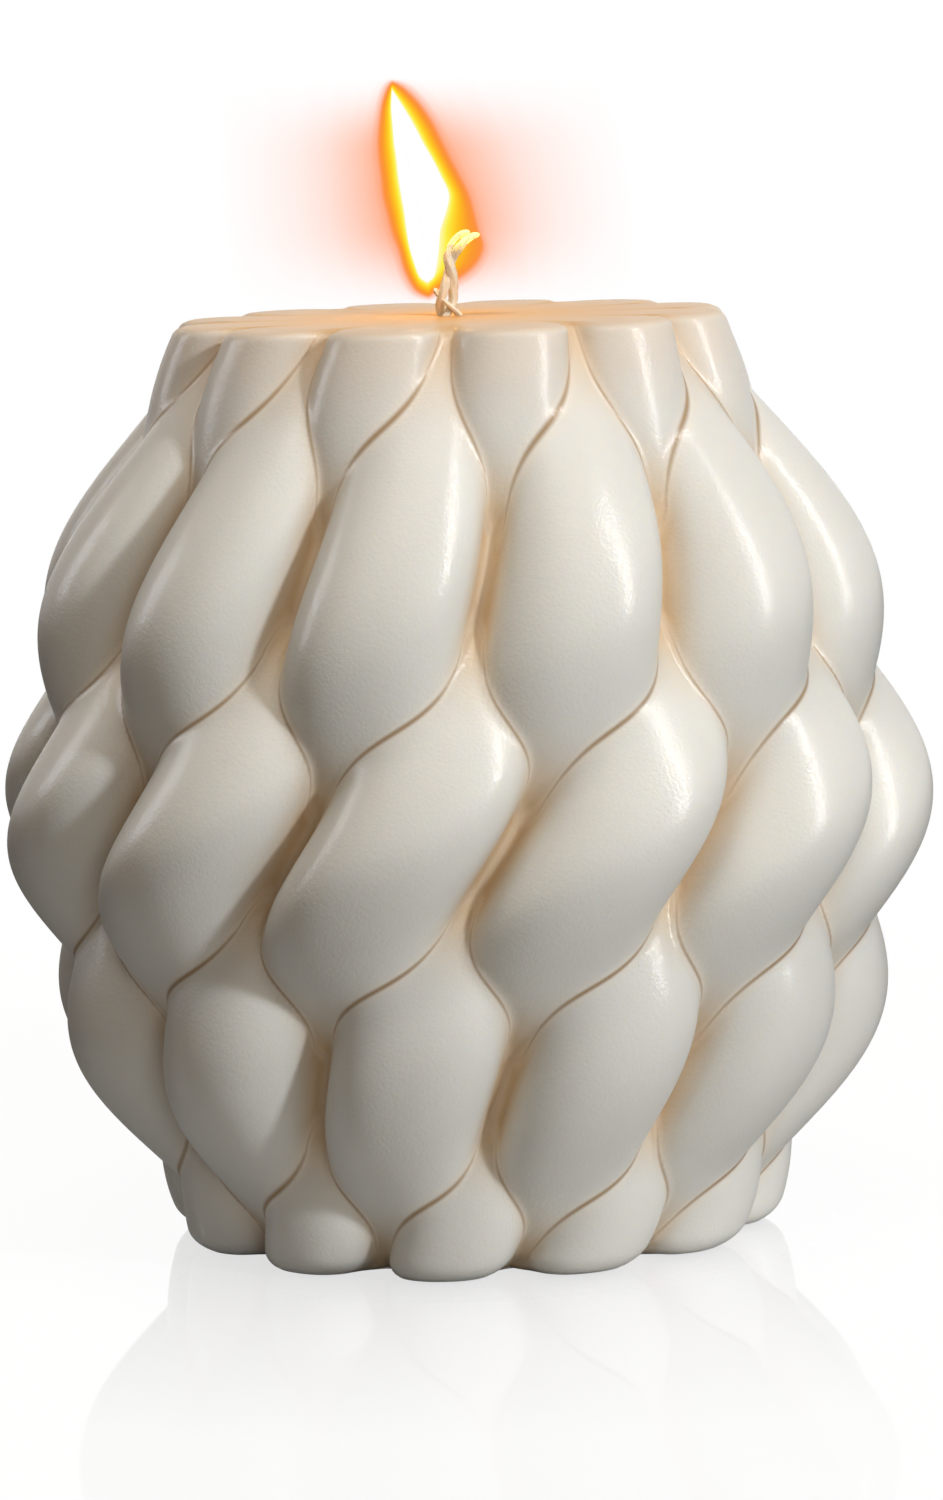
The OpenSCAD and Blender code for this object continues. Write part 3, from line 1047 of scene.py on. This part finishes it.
@dataclass
class Flame:
    """The flame: a white-hot heart beside the wick, in two crossing veils of light that fade outwards."""

    base: float
    heart_light: str = "ffffff"
    # Height above the wax, sideways place and half width in mm, from the foot to the tip.
    heart: tuple[tuple[float, float, float], ...] = (
        (2.8, -1.75, 0.0), (3.3, -1.78, 0.6), (4.3, -1.82, 0.92), (5.7, -1.9, 1.22), (7.2, -1.92, 1.42),
        (8.8, -1.72, 1.78), (10.2, -1.7, 2.0), (11.7, -2.1, 1.8), (13.2, -2.5, 1.5), (14.6, -2.95, 1.2),
        (16.1, -3.35, 0.88), (17.6, -3.8, 0.5), (19.1, -4.2, 0.0),
    )
    mantle: tuple[tuple[float, float, float], ...] = (
        (1.3, -1.7, 0.0), (2.2, -1.75, 0.9), (4.0, -0.8, 2.7), (5.7, -0.5, 3.4), (7.2, -0.95, 3.45),
        (8.8, -1.3, 3.45), (10.2, -1.65, 3.4), (11.7, -2.05, 3.1), (13.2, -2.5, 2.8), (14.6, -2.85, 2.5),
        (16.2, -3.15, 2.05), (18.0, -3.6, 1.3), (19.9, -4.15, 0.0),
    )
    # Yellow and orange hide what is behind them, and the glow outside the mantle lets more and more through.
    bands: tuple[FlameBand, ...] = (
        FlameBand(0.0, 0.0, "fff9b0", 1.0), FlameBand(0.16, 0.0, "fbf04c", 1.0), FlameBand(0.32, 0.0, "fed92e", 1.0),
        FlameBand(0.5, 0.0, "fec024", 1.0), FlameBand(0.8, 0.0, "fb9a26", 0.9), FlameBand(1.0, 0.0, "fd8c1c", 0.8),
        FlameBand(1.0, 0.35, "ff8614", 0.52), FlameBand(1.0, 0.9, "ff8608", 0.41), FlameBand(1.0, 1.7, "ff8604", 0.34),
        FlameBand(1.0, 3.0, "ff8604", 0.26), FlameBand(1.0, 5.0, "ff8604", 0.16), FlameBand(1.0, 7.5, "ff8604", 0.09),
        FlameBand(1.0, 10.5, "ff8604", 0.04), FlameBand(1.0, 14.0, "ff8604", 0.0),
    )
    foot_ease: float = 3.0
    tip_ease: float = 19.0
    top_limit: float = 20.2
    fade_below: float = 8.0
    fade_above: float = 13.5
    veil_thickness: float = 0.004
    # The crossing veil leans with the flame and lies along the line of sight, so it doesn't cut the heart in two.
    veil_foot: float = -0.9
    veil_lean: float = -0.165
    veil_yaw: float = -0.0125
    rings: int = 48
    steps_around: int = 32
    glow_watts: float = 0.0019
    glow_colour: str = "ffc486"
    glow_radius: float = 1 * MM
    # Sideways, and up from the wax.
    glow_place: tuple[float, float] = (-1.8 * MM, 10.5 * MM)

    def station(self, table: tuple[tuple[float, float, float], ...], share: float) -> Vector:
        """Reads a table of stations along a smooth curve.

        Args:
            table: the stations.
            share: place along it, 0 at the foot and 1 at the tip.

        Returns:
            Height, sideways place and half width.
        """
        spot = share * (len(table) - 1)
        first = min(int(spot), len(table) - 2)
        t = spot - first
        before, a, b, after = (Vector(table[min(max(first + i, 0), len(table) - 1)]) for i in (-1, 0, 1, 2))
        curve = (2 * before - 5 * a + 4 * b - after) + t * (3 * (a - b) + after - before)
        return a + 0.5 * t * ((b - before) + t * curve)

    def settled(self, high: float) -> float:
        """Keeps a height between the wax and the flame's upper limit, easing towards both.

        Args:
            high: height above the wax in mm.

        Returns:
            The height that it is moved to.
        """
        if high < self.foot_ease:
            return self.foot_ease * math.exp((high - self.foot_ease) / self.foot_ease)
        room = self.top_limit - self.tip_ease
        return high if high < self.tip_ease else self.top_limit - room * math.exp((self.tip_ease - high) / room)

    def faded(self, high: float, swell: float) -> float:
        """Gives how much of the glow is left near the wax and the flame's upper limit.

        Args:
            high: height above the wax in mm.
            swell: how far out the glow is, as the flame itself doesn't fade.

        Returns:
            The share that is left.
        """
        above = max(high - self.fade_above, 0.0) / (self.top_limit - self.fade_above)
        below = max(self.fade_below - high, 0.0) / self.fade_below
        lost = max(above, below)
        return 1.0 - lost * lost * (3.0 - 2.0 * lost) * min(swell, 1.0)

    def add_heart(self, mesh: FlameMesh) -> None:
        """Adds the round white heart to the flame's mesh.

        Args:
            mesh: the flame's mesh.
        """
        for ring in range(self.rings):
            for step in range(self.steps_around):
                corners = []
                for up, on in ((0, 0), (0, 1), (1, 1), (1, 0)):
                    share = (ring + up) / self.rings
                    high, aside, half = self.station(self.heart, share)
                    half = half if 0 < share < 1 else 0.0
                    a = 2 * math.pi * ((step + on) % self.steps_around) / self.steps_around
                    spot = (aside + half * math.cos(a), half * math.sin(a), high)
                    corners.append(mesh.corner(spot, self.heart_light, 1.0))
                mesh.face(corners)

    def add_veil(self, mesh: FlameMesh, crossing: bool) -> None:
        """Adds a thin closed veil that carries the flame's bands from the middle outwards.

        Args:
            mesh: the flame's mesh.
            crossing: whether the veil runs front to back, across the first one.
        """
        last = len(self.bands)
        for side in (-1, 1):
            grid = {}
            for level in range(-last, last + 1):
                band = self.bands[max(abs(level) - 1, 0)]
                depth = side * self.veil_thickness / 2 if abs(level) < last else 0.0
                for ring in range(self.rings + 1):
                    share = ring / self.rings
                    heart, mantle = self.station(self.heart, share), self.station(self.mantle, share)
                    high, aside, half = heart + (mantle - heart) * band.out
                    half += band.swell * math.sqrt(math.sin(math.pi * share)) if 0 < ring < self.rings else -half
                    high = self.settled(high - band.swell * math.cos(math.pi * share))
                    out = math.copysign(half, level) if level else 0.0
                    across = (self.veil_foot + self.veil_lean * high + self.veil_yaw * out + depth, out, high)
                    spot = across if crossing else (aside + out, depth, high)
                    grid[level, ring] = mesh.corner(spot, band.light, band.cover * self.faded(high, band.swell))
            outwards = (side < 0) != crossing
            for level in range(-last, last):
                for ring in range(self.rings):
                    corners = [grid[level + i, ring + j] for i, j in ((0, 0), (1, 0), (1, 1), (0, 1))]
                    mesh.face(corners if outwards else corners[::-1])

    def build(self, finish: FlameLight) -> bpy.types.Object:
        """Builds the flame and the small light inside it.

        Args:
            finish: the burning vapour.

        Returns:
            The finished piece.
        """
        shape = FlameMesh(self.base, [], [], [], {})
        self.add_heart(shape)
        self.add_veil(shape, crossing=False)
        self.add_veil(shape, crossing=True)
        mesh = bpy.data.meshes.new("flame")
        mesh.from_pydata(shape.points, [], shape.faces)
        shade = mesh.attributes.new("light", "FLOAT_COLOR", "POINT")
        for item, value in zip(shade.data, shape.lights):
            item.color = value
        mesh.shade_smooth()
        mesh.materials.append(finish.material())
        piece = bpy.data.objects.new("flame", mesh)
        bpy.context.scene.collection.objects.link(piece)
        piece.visible_shadow = piece.visible_diffuse = piece.visible_glossy = False
        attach(piece, BODY)
        LOG.info("%s: %d faces", piece.name, len(mesh.polygons))
        self.glow()
        return piece

    def glow(self) -> None:
        """Adds the flame's own light, inside its heart."""
        data = bpy.data.lights.new("flame_glow", "POINT")
        data.energy = self.glow_watts
        data.color = linear(self.glow_colour)[:3]
        data.shadow_soft_size = self.glow_radius
        lamp = bpy.data.objects.new("flame_glow", data)
        lamp.location = (self.glow_place[0], 0.0, self.base + self.glow_place[1])
        bpy.context.scene.collection.objects.link(lamp)


@dataclass
class Camera:
    """The photograph's viewpoint."""

    distance: float = 0.4761
    elevation: float = 0.1312
    roll: float = 0.0322
    focal_pixels: float = 5578.0
    target: tuple[float, float, float] = (0.704 * MM, 0.0, 40.9 * MM)
    sensor: float = 36.0
    clip_start: float = 0.01

    def build(self) -> bpy.types.Object:
        """Adds the camera and makes it the scene's own.

        Returns:
            The camera.
        """
        back = Vector((0.0, -math.cos(self.elevation), math.sin(self.elevation)))
        level = Vector((1.0, 0.0, 0.0))
        upright = back.cross(level)
        right = level * math.cos(self.roll) - upright * math.sin(self.roll)
        up = level * math.sin(self.roll) + upright * math.cos(self.roll)
        data = bpy.data.cameras.new("camera")
        data.sensor_width = self.sensor
        data.lens = self.focal_pixels * self.sensor / IMAGE_HEIGHT
        data.clip_start = self.clip_start
        camera = bpy.data.objects.new("camera", data)
        place = Vector(self.target) + back * self.distance
        turn = Matrix((right, up, back)).transposed().to_4x4()
        camera.matrix_world = Matrix.Translation(place) @ turn
        bpy.context.scene.collection.objects.link(camera)
        bpy.context.scene.camera = camera
        return camera


@dataclass(frozen=True)
class SoftBox:
    """A soft lamp aimed at the middle of the candle: degrees round from the front and up, sizes in metres."""

    name: str
    azimuth: float
    elevation: float
    distance: float
    width: float
    height: float
    watts: float
    colour: str = "ffffff"
    lights: Lights = Lights.ALL
    aim_height: float = 40 * MM

    def build(self) -> None:
        """Adds the lamp."""
        data = bpy.data.lights.new(self.name, "AREA")
        data.shape = "RECTANGLE"
        data.size, data.size_y = self.width, self.height
        data.energy = self.watts
        data.color = linear(self.colour)[:3]
        lamp = bpy.data.objects.new(self.name, data)
        a, e = math.radians(self.azimuth), math.radians(self.elevation)
        way = Vector((math.sin(a) * math.cos(e), -math.cos(a) * math.cos(e), math.sin(e)))
        place = Matrix.Translation(Vector((0.0, 0.0, self.aim_height)) + way * self.distance)
        lamp.matrix_world = place @ way.to_track_quat("Z", "Y").to_matrix().to_4x4()
        lamp.visible_diffuse, lamp.visible_glossy = self.lights.value
        bpy.context.scene.collection.objects.link(lamp)


@dataclass
class Studio:
    """A white table top and sweep with soft light."""

    floor_size: float = 3.0
    floor_diffuse: float = 0.07
    floor_gain: float = 1.3
    floor_bounce: float = 0.1
    # Distances from the wick over which the floor's matt share and its polish fade.
    floor_matt: tuple[float, float] = (60 * MM, 200 * MM)
    floor_gloss: tuple[float, float] = (24 * MM, 75 * MM)
    gloss_levels: tuple[float, float] = (0.24, 0.05)
    gloss_roughness: float = 0.03
    world_light: float = 0.07
    world_colour: str = "ffd2a4"
    lamps: tuple[SoftBox, ...] = (
        SoftBox("key_right", 43, 25, 0.9, 0.07, 0.07, 4.0, "f1f7ff", Lights.MATT),
        SoftBox("front_fill", 8, 12, 0.9, 0.3, 0.3, 1.0, "fff8ee", Lights.MATT),
        SoftBox("side_fill", 55, 12, 0.9, 0.3, 0.3, 0.6, lights=Lights.MATT),
        SoftBox("overhead", 0, 80, 0.9, 0.5, 0.5, 3.6, "fff8ee"),
        SoftBox("right_shine", 68, 36, 0.9, 0.06, 0.8, 14.0, lights=Lights.SHINE),
        SoftBox("left_shine", -110, 22, 0.9, 0.3, 0.4, 3.5, "f4f8ff", Lights.SHINE),
        SoftBox("back_fill", 190, 10, 0.9, 0.4, 0.4, 4.5, "fff8ee", Lights.MATT),
    )

    def floor(self) -> None:
        """Adds the white table top, which keeps the candle's shadow and a faint reflection."""
        mesh = bpy.data.meshes.new("table_top")
        h = self.floor_size / 2
        mesh.from_pydata([(-h, -h, 0), (h, -h, 0), (h, h, 0), (-h, h, 0)], [], [(0, 1, 2, 3)])
        floor = bpy.data.objects.new("table_top", mesh)
        bpy.context.scene.collection.objects.link(floor)
        material, add = new_material("white_laminate")
        # To the eye: as white as the sweep, with a little plain diffuse near the candle that takes its shadow, and
        # a polish that fades outwards.
        seen = add("ShaderNodeLightPath").outputs["Is Camera Ray"]
        place = add("ShaderNodeTexCoord").outputs["Object"]
        away = add("ShaderNodeVectorMath", [place], operation="LENGTH").outputs["Value"]
        share = add(MAP, [away, *self.floor_matt, self.floor_diffuse, 0.0])
        rest = add("SUBTRACT", [1.0, share])
        level = add("MULTIPLY", [seen, rest])
        white = add("ShaderNodeEmission", {"Color": WHITE, "Strength": level})
        grey = add("MULTIPLY", [share, self.floor_gain])
        grey = add(MIX, {"Factor": seen, "A": self.floor_bounce, "B": grey})
        matt = add("ShaderNodeBsdfDiffuse", {"Color": grey})
        white = add("ShaderNodeAddShader", [white, matt])
        gloss = add("ShaderNodeBsdfGlossy", {"Color": WHITE, "Roughness": self.gloss_roughness})
        mirror = add(MAP, [away, *self.floor_gloss, *self.gloss_levels])
        shader = add("ShaderNodeMixShader", [mirror, white, gloss])
        add("ShaderNodeOutputMaterial", [shader])
        mesh.materials.append(material)

    def world(self) -> None:
        """Sets the white surroundings, seen as white and lighting the candle softly."""
        world = bpy.data.worlds.new("white_studio")
        world.use_nodes = True
        world.node_tree.nodes.clear()
        add = partial(add_node, world.node_tree)
        path = add("ShaderNodeLightPath").outputs
        seen = add("MAXIMUM", [path["Is Camera Ray"], path["Is Glossy Ray"]])
        seen = add("MAXIMUM", [seen, path["Is Transmission Ray"]])
        level = add(MAP, [seen, 0.0, 1.0, self.world_light, 1.0])
        links = {"Factor": seen, "A": linear(self.world_colour), "B": WHITE}
        tint = add(MIX, links, data_type="RGBA")
        light = add("ShaderNodeBackground", {"Color": tint.outputs["Result"], "Strength": level})
        add("ShaderNodeOutputWorld", [light])
        bpy.context.scene.world = world

    def build(self) -> None:
        """Sets up the surroundings, the table top and the lamps."""
        self.world()
        self.floor()
        for lamp in self.lamps:
            lamp.build()
        bpy.context.scene.view_settings.view_transform = "Standard"


def main() -> None:
    """Builds the candle and its surroundings in order."""
    logging.basicConfig(level=logging.INFO, format="%(name)s %(message)s")
    Camera().build()
    Studio().build()
    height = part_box("wax_body")[1].z
    WaxBody(height=height).build(CastWax())
    Wick().build(CottonYarn())
    Flame(base=height).build(FlameLight())
    WickTab().dress(TinnedSheet())


if __name__ == "__main__":
    main()
